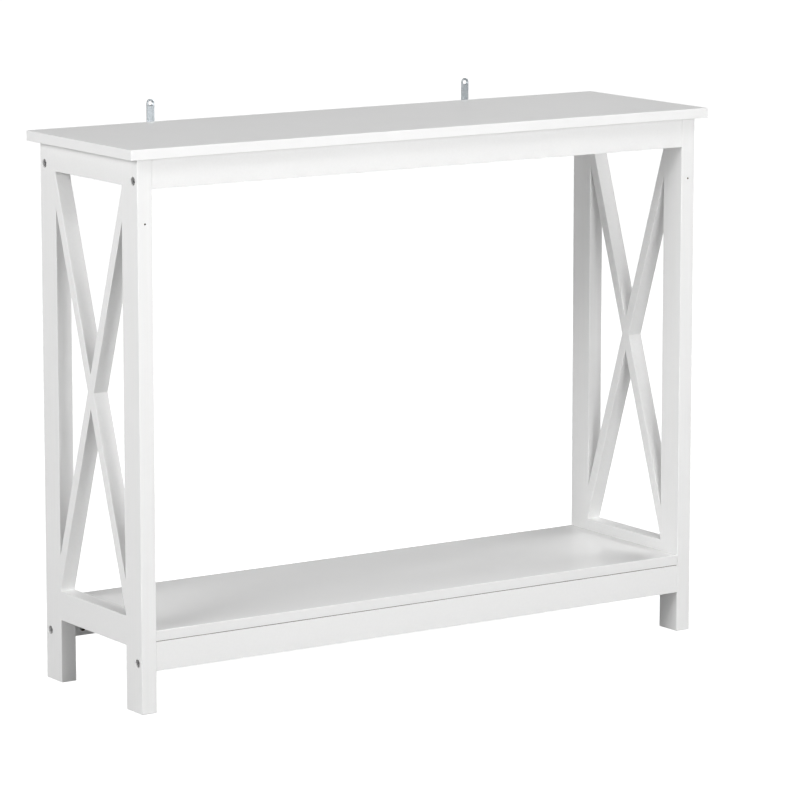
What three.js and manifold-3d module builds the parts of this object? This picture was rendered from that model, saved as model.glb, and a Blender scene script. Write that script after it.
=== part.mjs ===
// Console table: a narrow tabletop and a lower shelf between two end frames with crossed braces.
//
// Units are millimetres. +Z is up, X runs along the table, Y runs across it, and the front faces -Y.
// The origin is on the floor, under the middle of the tabletop.
//
// Two words are used throughout. A "side" is -1 for the left end frame and +1 for the right one.
// An "edge" is -1 for the front of the table and +1 for the rear.

import * as THREE from 'three';
import { mergeVertices } from 'three/addons/utils/BufferGeometryUtils.js';
import Module from 'manifold-3d';

const wasm = await Module();
wasm.setup();

// ---- Driving dimensions -------------------------------------------------------------------------

const TABLE_LENGTH = 1000;
const TABLE_DEPTH = 300;
const TABLE_HEIGHT = 803;
const BOARD = 15; // thickness of the tabletop and of the shelf
const END_OVERHANG = 16; // tabletop past the end frames, along X
const EDGE_OVERHANG = 12; // tabletop past the legs, along Y

const STOCK = 24; // thickness of the legs, rails, braces and aprons
const LEG_WIDTH = 44; // along Y
const TOP_RAIL_HEIGHT = 40;
const BOTTOM_RAIL_HEIGHT = 43;
const BOTTOM_RAIL_FOOT = 93; // floor to the underside of the bottom rail
const BRACE_WIDTH = 16; // across the brace, in the plane of the end frame
const BRACE_CORNER_GAP = 3; // rail to the brace, measured up the leg
const LAP_CLEARANCE = 0.3; // slack in the halving joint where the braces cross

const APRON_HEIGHT = 43;
const SHELF_TOP = 119;

const BOLT_ABOVE_APRON_FOOT = 11.5;
const DOWEL_ABOVE_APRON_FOOT = 31.5;
const BOLT_LENGTH = 50;
const BOLT_RADIUS = 3;
const BOLT_HEAD_RADIUS = 5.4;
const BOLT_HEAD_HEIGHT = 4.5;
const BOLT_SOCKET_RADIUS = 2.3;
const BOLT_SOCKET_DEPTH = 2.8;
const BOLT_HOLE_RUN = 3; // hole past the tip of the bolt
const COUNTERBORE_RADIUS = 6;
const COUNTERBORE_DEPTH = 6;
const NUT_RADIUS = 5;
const NUT_LENGTH = 14;
const NUT_SETBACK = 23; // end of the apron to the middle of the barrel nut
const DOWEL_RADIUS = 4;
const DOWEL_IN_LEG = 12;
const DOWEL_IN_APRON = 18;
const DOWEL_CHAMFER = 0.8;

const CAM_X = 380; // middle of the table to each cam fitting
const CAM_RADIUS = 7.3;
const CAM_DEPTH = 12;
const CAM_DROP = 24; // top of the apron to the middle of the cam
const CAM_SLOT_HALF_WIDTH = 3.9;
const CAM_SLOT_FOOT = 3.5; // middle of the cam down to the floor of its slot
const CAM_SLOT_SETBACK = 4.5; // driver face of the cam to its slot
const CAM_CROSS_REACH = 3.6;
const CAM_CROSS_SLOT = 1.3;
const CAM_CROSS_DEPTH = 1.8;
const CAM_BOLT_SETBACK = 8.5; // inner face of the apron to the cam bolt
const CAM_BOLT_HEAD_RADIUS = 3.3;
const CAM_BOLT_HEAD_HEIGHT = 3;
const CAM_BOLT_NECK_RADIUS = 2.2;
const CAM_BOLT_NECK_LENGTH = 4;
const CAM_BOLT_BODY_RADIUS = 3.5;
const CAM_BOLT_THREAD_RADIUS = 2.7;
const CAM_BOLT_TIP_RADIUS = 2;
const CAM_BOLT_THREAD = 11; // length in the tabletop
const CAM_BOLT_CHAMFER = 1;
const CAM_BOLT_HOLE_FOOT = 4.5; // middle of the cam down to the end of the bolt's hole

const SHELF_SCREW_X = 300;
const SHELF_SCREW_RADIUS = 2;
const SHELF_SCREW_HEAD_RADIUS = 3.8;
const SHELF_SCREW_HEAD_HEIGHT = 2.5;
const SHELF_SCREW_GRIP = 18; // wood between the screw head and the shelf
const SHELF_SCREW_BITE = 11.5; // length in the shelf
const SHELF_SCREW_CROSS_DEPTH = 1.3;
const SHELF_SCREW_CHAMFER = 0.8;
const SHELF_SCREW_RIM = 1; // straight part of the side of the head

const BRACKET_LEFT_X = -293;
const BRACKET_RIGHT_X = 263;
const BRACKET_WIDTH = 12.5;
const BRACKET_THICKNESS = 2;
const BRACKET_FOOT = 789;
const BRACKET_TOP = 836;
const BRACKET_CORNER = 2;
const WALL_HOLE_RADIUS = 3.2;
const WALL_HOLE_FLARE = 1.4;
const BRACKET_SCREW_RADIUS = 2;
const BRACKET_SCREW_HEAD_RADIUS = 3.8;
const BRACKET_SCREW_BITE = 23;
const BRACKET_SCREW_CROSS_DEPTH = 1.2;
const BRACKET_SCREW_SINK = 0.1; // head below the rear face of the strap
const COUNTERSINK_DEPTH = 1.8;
const SCREW_CROSS_REACH = 2;
const SCREW_CROSS_SLOT = 0.9;
const SCREW_POINT = 4; // length of a screw's tapering point

const CLEARANCE = 0.3; // gap round every fastener in its hole
const OVERRUN = 1; // how far a cutter runs on past the face it opens
const FINE = 20; // sides of a round hole or head that can be seen
const COARSE = 12; // sides of a round shape inside the wood
const HEXAGON = 6;
const ARC_STEPS = 10; // straight steps along each curve of the wall bracket
const CUT_HEIGHT_STEPS = 20; // rounds that settle the height of a brace's end

// ---- Worked-out places --------------------------------------------------------------------------

const BOARD_FOOT = TABLE_HEIGHT - BOARD; // underside of the tabletop and top of the legs
const FRAME_OUTER = TABLE_LENGTH / 2 - END_OVERHANG;
const FRAME_INNER = FRAME_OUTER - STOCK;
const FRAME_MIDDLE = FRAME_OUTER - STOCK / 2;
const LEG_OUTER = TABLE_DEPTH / 2 - EDGE_OVERHANG;
const LEG_INNER = LEG_OUTER - LEG_WIDTH;
const LEG_MIDDLE = LEG_OUTER - LEG_WIDTH / 2;
const APRON_MIDDLE = LEG_OUTER - STOCK / 2;
const APRON_INNER = LEG_OUTER - STOCK;
const UPPER_APRON_FOOT = BOARD_FOOT - APRON_HEIGHT;
const LOWER_APRON_FOOT = SHELF_TOP - BOARD - APRON_HEIGHT;
const BOTTOM_RAIL_TOP = BOTTOM_RAIL_FOOT + BOTTOM_RAIL_HEIGHT;
const TOP_RAIL_FOOT = BOARD_FOOT - TOP_RAIL_HEIGHT;
const BOLT_SEAT = FRAME_OUTER - COUNTERBORE_DEPTH;

const SIDES = { left: -1, right: 1 };
const EDGES = { front: -1, rear: 1 };
const LEVELS = { upper: UPPER_APRON_FOOT, lower: LOWER_APRON_FOOT };

// ---- Materials ----------------------------------------------------------------------------------

const WHITE_PAINT = { color: 0xf1f1ef, roughness: 0.42, metalness: 0 };
const BRIGHT_ZINC = { color: 0xc4cad0, roughness: 0.35, metalness: 1 };
const DARK_ZINC = { color: 0x9a9b9b, roughness: 0.4, metalness: 1 };
const BEECH = { color: 0xd3ac7a, roughness: 0.7, metalness: 0 };

// ---- Solid shapes -------------------------------------------------------------------------------

// A box between two corners.
function box([x0, y0, z0], [x1, y1, z1]) {
  const block = new THREE.BoxGeometry(x1 - x0, y1 - y0, z1 - z0);
  return block.translate((x0 + x1) / 2, (y0 + y1) / 2, (z0 + z1) / 2);
}

// A round rod through a point, running along one axis between two coordinates of that axis.
function rod(axis, start, end, [x, y, z], radius, sides) {
  const length = Math.abs(end - start);
  const middle = (start + end) / 2;
  const cylinder = new THREE.CylinderGeometry(radius, radius, length, sides);
  if (axis === 'x') {
    return cylinder.rotateZ(Math.PI / 2).translate(middle, y, z);
  }
  if (axis === 'z') {
    return cylinder.rotateX(Math.PI / 2).translate(x, y, middle);
  }
  return cylinder.translate(x, middle, z);
}

function toSolid(geometry) {
  const bare = geometry.clone();
  bare.deleteAttribute('normal');
  bare.deleteAttribute('uv');
  const merged = mergeVertices(bare);
  return new wasm.Manifold(new wasm.Mesh({
    numProp: 3,
    vertProperties: merged.attributes.position.array,
    triVerts: new Uint32Array(merged.index.array),
  }));
}

function toGeometry(solid) {
  const mesh = solid.getMesh();
  const geometry = new THREE.BufferGeometry();
  geometry.setAttribute('position', new THREE.BufferAttribute(mesh.vertProperties, 3));
  geometry.setIndex(new THREE.BufferAttribute(mesh.triVerts, 1));
  geometry.computeVertexNormals();
  return geometry;
}

function cut(body, tools) {
  return toGeometry(tools.reduce((solid, tool) => solid.subtract(toSolid(tool)), toSolid(body)));
}

function join(first, others) {
  return others.reduce((solid, other) => solid.add(toSolid(other)), toSolid(first));
}

// A cross-shaped driver recess in the head of a screw or cam, as two crossed slots.
function crossRecess(axis, start, end, [x, y, z], reach, slot) {
  const half = slot / 2;
  if (axis === 'y') {
    return [
      box([x - reach, start, z - half], [x + reach, end, z + half]),
      box([x - half, start, z - reach], [x + half, end, z + reach]),
    ];
  }
  return [
    box([x - reach, y - half, start], [x + reach, y + half, end]),
    box([x - half, y - reach, start], [x + half, y + reach, end]),
  ];
}

const table = new THREE.Group();

function addPiece(name, geometry, finish, [x, y, z] = [0, 0, 0], parent = table) {
  const mesh = new THREE.Mesh(geometry, new THREE.MeshStandardMaterial(finish));
  mesh.name = name;
  mesh.position.set(x, y, z);
  parent.add(mesh);
}

// ---- Boards -------------------------------------------------------------------------------------

function tabletop() {
  const end = TABLE_LENGTH / 2;
  const back = TABLE_DEPTH / 2;
  const board = box([-end, -back, BOARD_FOOT], [end, back, TABLE_HEIGHT]);
  const holes = [];
  for (const edge of Object.values(EDGES)) {
    for (const side of Object.values(SIDES)) {
      const place = [side * CAM_X, edge * (APRON_INNER + CAM_BOLT_SETBACK), 0];
      const top = BOARD_FOOT + CAM_BOLT_THREAD + CLEARANCE;
      const radius = CAM_BOLT_THREAD_RADIUS + CLEARANCE;
      holes.push(rod('z', BOARD_FOOT - OVERRUN, top, place, radius, COARSE));
    }
  }
  for (const x of [BRACKET_LEFT_X, BRACKET_RIGHT_X]) {
    const start = back - BRACKET_SCREW_BITE - CLEARANCE;
    const place = [x, 0, TABLE_HEIGHT - BOARD / 2];
    holes.push(rod('y', start, back + OVERRUN, place, BRACKET_SCREW_RADIUS + CLEARANCE, COARSE));
  }
  return cut(board, holes);
}

function lowerShelf() {
  const foot = SHELF_TOP - BOARD;
  const board = box([-FRAME_INNER, -LEG_OUTER, foot], [FRAME_INNER, LEG_OUTER, SHELF_TOP]);
  const holes = [];
  for (const edge of Object.values(EDGES)) {
    for (const side of Object.values(SIDES)) {
      const place = [side * SHELF_SCREW_X, edge * APRON_MIDDLE, 0];
      const top = foot + SHELF_SCREW_BITE + CLEARANCE;
      holes.push(rod('z', foot - OVERRUN, top, place, SHELF_SCREW_RADIUS + CLEARANCE, COARSE));
    }
  }
  return cut(board, holes);
}

addPiece('tabletop', tabletop(), WHITE_PAINT);
addPiece('lower_shelf', lowerShelf(), WHITE_PAINT);

// ---- End frames ---------------------------------------------------------------------------------
// The pieces of an end frame are made about the middle of its thickness, and its group moves them out.

function leg(side, edge) {
  const inner = -side * STOCK / 2;
  const outer = side * STOCK / 2;
  const body = box([-STOCK / 2, -LEG_WIDTH / 2, 0], [STOCK / 2, LEG_WIDTH / 2, BOARD_FOOT]);
  const holes = [];
  for (const apronFoot of Object.values(LEVELS)) {
    const bolt = [0, edge * (APRON_MIDDLE - LEG_MIDDLE), apronFoot + BOLT_ABOVE_APRON_FOOT];
    const dowel = [0, bolt[1], apronFoot + DOWEL_ABOVE_APRON_FOOT];
    const seat = outer - side * COUNTERBORE_DEPTH;
    const dowelEnd = inner + side * (DOWEL_IN_LEG + CLEARANCE);
    const start = inner - side * OVERRUN;
    const end = outer + side * OVERRUN;
    holes.push(rod('x', start, end, bolt, BOLT_RADIUS + CLEARANCE, FINE));
    holes.push(rod('x', seat, end, bolt, COUNTERBORE_RADIUS, FINE));
    holes.push(rod('x', start, dowelEnd, dowel, DOWEL_RADIUS + CLEARANCE, COARSE));
  }
  return cut(body, holes);
}

// The brace is a strip cut off upright against both legs. Its ends start BRACE_CORNER_GAP from the rails.
function brace(side, rise, keepsOuterHalf) {
  const bottom = BOTTOM_RAIL_TOP + BRACE_CORNER_GAP;
  const top = TOP_RAIL_FOOT - BRACE_CORNER_GAP;
  const cutHeight = braceCutHeight(top - bottom);
  const outline = (slack) => new THREE.Shape([
    new THREE.Vector2(-rise * LEG_INNER, bottom - slack),
    new THREE.Vector2(rise * LEG_INNER, top - cutHeight - slack),
    new THREE.Vector2(rise * LEG_INNER, top + slack),
    new THREE.Vector2(-rise * LEG_INNER, bottom + cutHeight + slack),
  ]);
  const strip = slab(outline(0), -STOCK / 2, STOCK / 2);

  // The halving takes the other brace's shape out of half of this one's thickness.
  const halfSide = keepsOuterHalf ? -side : side;
  const other = new THREE.Shape(outline(LAP_CLEARANCE).getPoints().map(
    (point) => new THREE.Vector2(-point.x, point.y),
  ));
  const lap = halfSide > 0
    ? slab(other, -LAP_CLEARANCE / 2, STOCK)
    : slab(other, -STOCK, LAP_CLEARANCE / 2);
  return cut(strip, [lap]);
}

// Height of a brace's upright end cut, so that the strip measures BRACE_WIDTH across.
function braceCutHeight(clearHeight) {
  const run = 2 * LEG_INNER;
  let cutHeight = BRACE_WIDTH;
  for (let step = 0; step < CUT_HEIGHT_STEPS; step += 1) {
    const rise = clearHeight - cutHeight;
    cutHeight = BRACE_WIDTH * Math.hypot(run, rise) / run;
  }
  return cutHeight;
}

// An outline in the Y-Z plane, extruded along X between two coordinates.
function slab(outline, start, end) {
  const depth = end - start;
  const plate = new THREE.ExtrudeGeometry(outline, { depth, bevelEnabled: false });
  return plate.rotateY(Math.PI / 2).rotateX(Math.PI / 2).translate(start, 0, 0);
}

for (const [sideName, side] of Object.entries(SIDES)) {
  const frame = new THREE.Group();
  frame.position.x = side * FRAME_MIDDLE;
  table.add(frame);

  for (const [edgeName, edge] of Object.entries(EDGES)) {
    const place = [0, edge * LEG_MIDDLE, 0];
    addPiece(`${sideName}_${edgeName}_leg`, leg(side, edge), WHITE_PAINT, place, frame);
  }

  const topRail = new THREE.BoxGeometry(STOCK, 2 * LEG_INNER, TOP_RAIL_HEIGHT);
  const bottomRail = new THREE.BoxGeometry(STOCK, 2 * LEG_INNER, BOTTOM_RAIL_HEIGHT);
  const topMiddle = [0, 0, BOARD_FOOT - TOP_RAIL_HEIGHT / 2];
  const bottomMiddle = [0, 0, BOTTOM_RAIL_FOOT + BOTTOM_RAIL_HEIGHT / 2];
  addPiece(`${sideName}_top_rail`, topRail, WHITE_PAINT, topMiddle, frame);
  addPiece(`${sideName}_bottom_rail`, bottomRail, WHITE_PAINT, bottomMiddle, frame);

  addPiece(`${sideName}_brace_rising_rearward`, brace(side, 1, true), WHITE_PAINT, [0, 0, 0], frame);
  addPiece(`${sideName}_brace_rising_forward`, brace(side, -1, false), WHITE_PAINT, [0, 0, 0], frame);
}

// ---- Aprons -------------------------------------------------------------------------------------
// Four aprons join the end frames. Each is made about its own middle, with its foot at zero height.

function apron(edge, isUpper) {
  const inner = -edge * STOCK / 2;
  const body = box([-FRAME_INNER, -STOCK / 2, 0], [FRAME_INNER, STOCK / 2, APRON_HEIGHT]);
  const holes = [];
  for (const side of Object.values(SIDES)) {
    const end = side * FRAME_INNER;
    const boltEnd = side * (BOLT_SEAT - BOLT_LENGTH - BOLT_HOLE_RUN);
    const dowelEnd = end - side * (DOWEL_IN_APRON + CLEARANCE);
    const nutEnd = edge * (NUT_LENGTH / 2 + CLEARANCE);
    const bolt = [0, 0, BOLT_ABOVE_APRON_FOOT];
    const dowel = [0, 0, DOWEL_ABOVE_APRON_FOOT];
    const nut = [end - side * NUT_SETBACK, 0, BOLT_ABOVE_APRON_FOOT];
    const mouth = end + side * OVERRUN;
    holes.push(rod('x', boltEnd, mouth, bolt, BOLT_RADIUS + CLEARANCE, COARSE));
    holes.push(rod('x', dowelEnd, mouth, dowel, DOWEL_RADIUS + CLEARANCE, COARSE));
    holes.push(rod('y', inner - edge * OVERRUN, nutEnd, nut, NUT_RADIUS + CLEARANCE, FINE));
    holes.push(...(isUpper ? camHoles(side, edge, inner) : shelfScrewHoles(side)));
  }
  return cut(body, holes);
}

function camHoles(side, edge, inner) {
  const cam = [side * CAM_X, 0, APRON_HEIGHT - CAM_DROP];
  const bolt = [side * CAM_X, inner + edge * CAM_BOLT_SETBACK, 0];
  const camEnd = inner + edge * (CAM_DEPTH + CLEARANCE);
  const boltEnd = APRON_HEIGHT - CAM_DROP - CAM_BOLT_HOLE_FOOT;
  return [
    rod('y', inner - edge * OVERRUN, camEnd, cam, CAM_RADIUS + CLEARANCE, FINE),
    rod('z', boltEnd, APRON_HEIGHT + OVERRUN, bolt, CAM_BOLT_BODY_RADIUS + CLEARANCE, COARSE),
  ];
}

function shelfScrewHoles(side) {
  const place = [side * SHELF_SCREW_X, 0, 0];
  const seat = APRON_HEIGHT - SHELF_SCREW_GRIP;
  return [
    rod('z', -OVERRUN, seat, place, SHELF_SCREW_HEAD_RADIUS + CLEARANCE, FINE),
    rod('z', seat - OVERRUN, APRON_HEIGHT + OVERRUN, place, SHELF_SCREW_RADIUS + CLEARANCE, COARSE),
  ];
}

for (const [levelName, foot] of Object.entries(LEVELS)) {
  for (const [edgeName, edge] of Object.entries(EDGES)) {
    const place = [0, edge * APRON_MIDDLE, foot];
    addPiece(`${levelName}_${edgeName}_apron`, apron(edge, levelName === 'upper'), WHITE_PAINT, place);
  }
}

// ---- Bolts, barrel nuts and dowels at the apron ends ----------------------------------------------
// The bolt runs inwards from its seat in the leg. It is made with its seat at zero.

function frameBolt(side) {
  const head = rod('x', 0, side * BOLT_HEAD_HEIGHT, [0, 0, 0], BOLT_HEAD_RADIUS, FINE);
  const shank = rod('x', side, -side * BOLT_LENGTH, [0, 0, 0], BOLT_RADIUS, COARSE);
  const socketFloor = side * (BOLT_HEAD_HEIGHT - BOLT_SOCKET_DEPTH);
  const socketMouth = side * (BOLT_HEAD_HEIGHT + OVERRUN);
  const socket = rod('x', socketFloor, socketMouth, [0, 0, 0], BOLT_SOCKET_RADIUS, HEXAGON);
  return toGeometry(join(head, [shank]).subtract(toSolid(socket)));
}

function barrelNut() {
  const half = NUT_LENGTH / 2;
  const barrel = rod('y', -half, half, [0, 0, 0], NUT_RADIUS, FINE);
  const reach = NUT_RADIUS + OVERRUN;
  const thread = rod('x', -reach, reach, [0, 0, 0], BOLT_RADIUS + CLEARANCE, COARSE);
  return cut(barrel, [thread]);
}

// A dowel with chamfered ends, along X, with the joint face of the leg at zero.
function dowel(side) {
  const profile = [
    new THREE.Vector2(0, -DOWEL_IN_LEG),
    new THREE.Vector2(DOWEL_RADIUS - DOWEL_CHAMFER, -DOWEL_IN_LEG),
    new THREE.Vector2(DOWEL_RADIUS, DOWEL_CHAMFER - DOWEL_IN_LEG),
    new THREE.Vector2(DOWEL_RADIUS, DOWEL_IN_APRON - DOWEL_CHAMFER),
    new THREE.Vector2(DOWEL_RADIUS - DOWEL_CHAMFER, DOWEL_IN_APRON),
    new THREE.Vector2(0, DOWEL_IN_APRON),
  ];
  return new THREE.LatheGeometry(profile, COARSE).rotateZ(side * Math.PI / 2);
}

for (const [sideName, side] of Object.entries(SIDES)) {
  for (const [edgeName, edge] of Object.entries(EDGES)) {
    for (const [levelName, foot] of Object.entries(LEVELS)) {
      const corner = `${sideName}_${edgeName}_${levelName}`;
      const y = edge * APRON_MIDDLE;
      const boltHeight = foot + BOLT_ABOVE_APRON_FOOT;
      const nutX = side * (FRAME_INNER - NUT_SETBACK);
      const dowelPlace = [side * FRAME_INNER, y, foot + DOWEL_ABOVE_APRON_FOOT];
      addPiece(`frame_bolt_${corner}`, frameBolt(side), DARK_ZINC, [side * BOLT_SEAT, y, boltHeight]);
      addPiece(`barrel_nut_${corner}`, barrelNut(), DARK_ZINC, [nutX, y, boltHeight]);
      addPiece(`apron_dowel_${corner}`, dowel(side), BEECH, dowelPlace);
    }
  }
}

// ---- Cam fittings that hold the tabletop ----------------------------------------------------------
// The cam bolt screws up into the tabletop. It is made with the underside of the tabletop at zero.

function camBolt() {
  const headTop = -CAM_DROP;
  const headFoot = headTop - CAM_BOLT_HEAD_HEIGHT;
  const neckFoot = headTop + CAM_BOLT_CHAMFER;
  const neckTop = neckFoot + CAM_BOLT_NECK_LENGTH;
  const profile = [
    new THREE.Vector2(0, headFoot),
    new THREE.Vector2(CAM_BOLT_HEAD_RADIUS, headFoot),
    new THREE.Vector2(CAM_BOLT_HEAD_RADIUS, headTop),
    new THREE.Vector2(CAM_BOLT_NECK_RADIUS, neckFoot),
    new THREE.Vector2(CAM_BOLT_NECK_RADIUS, neckTop),
    new THREE.Vector2(CAM_BOLT_BODY_RADIUS, neckTop + CAM_BOLT_CHAMFER),
    new THREE.Vector2(CAM_BOLT_BODY_RADIUS, -CAM_BOLT_CHAMFER),
    new THREE.Vector2(CAM_BOLT_THREAD_RADIUS, 0),
    new THREE.Vector2(CAM_BOLT_THREAD_RADIUS, CAM_BOLT_THREAD - CAM_BOLT_CHAMFER),
    new THREE.Vector2(CAM_BOLT_TIP_RADIUS, CAM_BOLT_THREAD),
    new THREE.Vector2(0, CAM_BOLT_THREAD),
  ];
  return new THREE.LatheGeometry(profile, COARSE).rotateX(Math.PI / 2);
}

// The cam is a disc, made with its driver face at zero. Its slotted half takes the head of the cam bolt.
function camLock(edge) {
  const disc = rod('y', 0, edge * CAM_DEPTH, [0, 0, 0], CAM_RADIUS, FINE);
  const ends = [edge * CAM_SLOT_SETBACK, edge * (CAM_DEPTH + OVERRUN)];
  const slot = box(
    [-CAM_SLOT_HALF_WIDTH, Math.min(...ends), -CAM_SLOT_FOOT],
    [CAM_SLOT_HALF_WIDTH, Math.max(...ends), CAM_RADIUS + OVERRUN],
  );
  const depth = CAM_CROSS_DEPTH;
  const recess = crossRecess('y', -depth, depth, [0, 0, 0], CAM_CROSS_REACH, CAM_CROSS_SLOT);
  return cut(disc, [slot, ...recess]);
}

for (const [edgeName, edge] of Object.entries(EDGES)) {
  for (const [sideName, side] of Object.entries(SIDES)) {
    const x = side * CAM_X;
    const boltPlace = [x, edge * (APRON_INNER + CAM_BOLT_SETBACK), BOARD_FOOT];
    const camPlace = [x, edge * APRON_INNER, BOARD_FOOT - CAM_DROP];
    addPiece(`cam_bolt_${edgeName}_${sideName}`, camBolt(), DARK_ZINC, boltPlace);
    addPiece(`cam_lock_${edgeName}_${sideName}`, camLock(edge), BRIGHT_ZINC, camPlace);
  }
}

// ---- Screws that hold the shelf -------------------------------------------------------------------
// Each screw goes up through a lower apron. It is made with the underside of the shelf at zero.

function shelfScrew() {
  const seat = -SHELF_SCREW_GRIP;
  const headFoot = seat - SHELF_SCREW_HEAD_HEIGHT;
  const profile = [
    new THREE.Vector2(0, headFoot),
    new THREE.Vector2(SHELF_SCREW_HEAD_RADIUS - SHELF_SCREW_CHAMFER, headFoot),
    new THREE.Vector2(SHELF_SCREW_HEAD_RADIUS, seat - SHELF_SCREW_RIM),
    new THREE.Vector2(SHELF_SCREW_HEAD_RADIUS, seat),
    new THREE.Vector2(SHELF_SCREW_RADIUS, seat),
    new THREE.Vector2(SHELF_SCREW_RADIUS, SHELF_SCREW_BITE - SCREW_POINT),
    new THREE.Vector2(0, SHELF_SCREW_BITE),
  ];
  const screw = new THREE.LatheGeometry(profile, COARSE).rotateX(Math.PI / 2);
  const start = headFoot - OVERRUN;
  const end = headFoot + SHELF_SCREW_CROSS_DEPTH;
  return cut(screw, crossRecess('z', start, end, [0, 0, 0], SCREW_CROSS_REACH, SCREW_CROSS_SLOT));
}

for (const [edgeName, edge] of Object.entries(EDGES)) {
  for (const [sideName, side] of Object.entries(SIDES)) {
    const place = [side * SHELF_SCREW_X, edge * APRON_MIDDLE, SHELF_TOP - BOARD];
    addPiece(`shelf_screw_${edgeName}_${sideName}`, shelfScrew(), BRIGHT_ZINC, place);
  }
}

// ---- Wall brackets ----------------------------------------------------------------------------------
// A flat strap with a round top, screwed to the rear edge of the tabletop. It is made about X = 0, with
// its rear face at Y = 0. The wall screw goes in from the front, and the tabletop's screw from the rear.

// A hole along Y that widens towards the face at wideFace, for a countersunk head.
function countersunkHole(wideFace, outward, height, radius, wideRadius) {
  const profile = [
    new THREE.Vector2(0, -BRACKET_THICKNESS - OVERRUN),
    new THREE.Vector2(radius, -BRACKET_THICKNESS - OVERRUN),
    new THREE.Vector2(radius, -COUNTERSINK_DEPTH),
    new THREE.Vector2(wideRadius, 0),
    new THREE.Vector2(wideRadius, OVERRUN),
    new THREE.Vector2(0, OVERRUN),
  ];
  const hole = new THREE.LatheGeometry(profile, FINE);
  return hole.rotateX(outward > 0 ? 0 : Math.PI).translate(0, wideFace, height);
}

function wallBracket() {
  const half = BRACKET_WIDTH / 2;
  const corner = BRACKET_CORNER;
  const shoulder = BRACKET_TOP - half;
  const outline = new THREE.Shape();
  outline.moveTo(corner - half, BRACKET_FOOT);
  outline.lineTo(half - corner, BRACKET_FOOT);
  outline.absarc(half - corner, BRACKET_FOOT + corner, corner, -Math.PI / 2, 0, false);
  outline.lineTo(half, shoulder);
  outline.absarc(0, shoulder, half, 0, Math.PI, false);
  outline.lineTo(-half, BRACKET_FOOT + corner);
  outline.absarc(corner - half, BRACKET_FOOT + corner, corner, Math.PI, 1.5 * Math.PI, false);
  const options = { depth: BRACKET_THICKNESS, bevelEnabled: false, curveSegments: ARC_STEPS };
  const strap = new THREE.ExtrudeGeometry(outline, options).rotateX(Math.PI / 2);
  const edgeHeight = TABLE_HEIGHT - BOARD / 2;
  const screwRadius = BRACKET_SCREW_RADIUS + CLEARANCE;
  const headRadius = BRACKET_SCREW_HEAD_RADIUS + CLEARANCE;
  const wallMouth = WALL_HOLE_RADIUS + WALL_HOLE_FLARE;
  return cut(strap, [
    countersunkHole(-BRACKET_THICKNESS, -1, shoulder, WALL_HOLE_RADIUS, wallMouth),
    countersunkHole(0, 1, edgeHeight, screwRadius, headRadius),
  ]);
}

// The countersunk screw sits just below the rear face of the strap.
function bracketScrew() {
  const headTop = -BRACKET_SCREW_SINK;
  const neck = headTop - COUNTERSINK_DEPTH;
  const point = -BRACKET_THICKNESS - BRACKET_SCREW_BITE;
  const profile = [
    new THREE.Vector2(0, point),
    new THREE.Vector2(BRACKET_SCREW_RADIUS, point + SCREW_POINT),
    new THREE.Vector2(BRACKET_SCREW_RADIUS, neck),
    new THREE.Vector2(BRACKET_SCREW_HEAD_RADIUS, headTop),
    new THREE.Vector2(0, headTop),
  ];
  const screw = new THREE.LatheGeometry(profile, FINE);
  const start = headTop - BRACKET_SCREW_CROSS_DEPTH;
  const end = headTop + OVERRUN;
  return cut(screw, crossRecess('y', start, end, [0, 0, 0], SCREW_CROSS_REACH, SCREW_CROSS_SLOT));
}

for (const [sideName, x] of Object.entries({ left: BRACKET_LEFT_X, right: BRACKET_RIGHT_X })) {
  const back = TABLE_DEPTH / 2 + BRACKET_THICKNESS;
  const screwPlace = [x, back, TABLE_HEIGHT - BOARD / 2];
  addPiece(`wall_bracket_${sideName}`, wallBracket(), BRIGHT_ZINC, [x, back, 0]);
  addPiece(`bracket_screw_${sideName}`, bracketScrew(), BRIGHT_ZINC, screwPlace);
}

export default table;
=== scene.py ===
"""The looks of a white console table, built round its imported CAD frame.

Everything is in metres in the frame's own axes: +Z is up, X runs along the table and the front faces -Y.
Places come from the boxes of the CAD nodes. The named sizes below are the details that a box can't give.
"""

import math

import bmesh
import bpy
from mathutils import Matrix, Vector
from mathutils.geometry import tessellate_polygon


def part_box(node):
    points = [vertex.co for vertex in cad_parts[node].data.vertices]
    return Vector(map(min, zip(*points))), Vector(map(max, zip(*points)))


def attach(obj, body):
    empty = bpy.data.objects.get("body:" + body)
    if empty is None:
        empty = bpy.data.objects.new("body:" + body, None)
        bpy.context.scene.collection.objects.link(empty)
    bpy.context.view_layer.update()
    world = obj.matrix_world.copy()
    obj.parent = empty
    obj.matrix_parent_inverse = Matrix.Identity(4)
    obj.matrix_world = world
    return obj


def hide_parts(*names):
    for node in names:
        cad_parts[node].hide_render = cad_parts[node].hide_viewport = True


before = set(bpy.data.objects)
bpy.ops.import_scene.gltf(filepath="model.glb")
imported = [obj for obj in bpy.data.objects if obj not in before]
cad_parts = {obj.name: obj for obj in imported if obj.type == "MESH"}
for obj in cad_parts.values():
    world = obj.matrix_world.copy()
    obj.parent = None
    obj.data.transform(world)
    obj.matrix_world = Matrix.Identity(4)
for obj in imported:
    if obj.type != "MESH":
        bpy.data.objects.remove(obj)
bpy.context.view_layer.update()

MM = 0.001

# ---- Sizes of the details ------------------------------------------------------------------------

# Wood
BOARD_CORNER = 1.5 * MM  # upright corners of the tabletop, seen from above
BOARD_ARRIS = 1.1 * MM  # rounding along the upper edges of the tabletop and the shelf
BOARD_UNDER_ARRIS = 0.9 * MM  # along the tabletop's lower edges
FRAME_ARRIS = 0.8 * MM
FOOT_CORNER = 1.5 * MM  # where the foot of a leg turns up, seen from the side
APRON_ARRIS = 0.6 * MM
JOINT_ARRIS = 0.3 * MM  # edges that meet another piece
ARRIS_STEPS = 4
FOOT_STEPS = 3
CORNER_STEPS = 6

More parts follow.
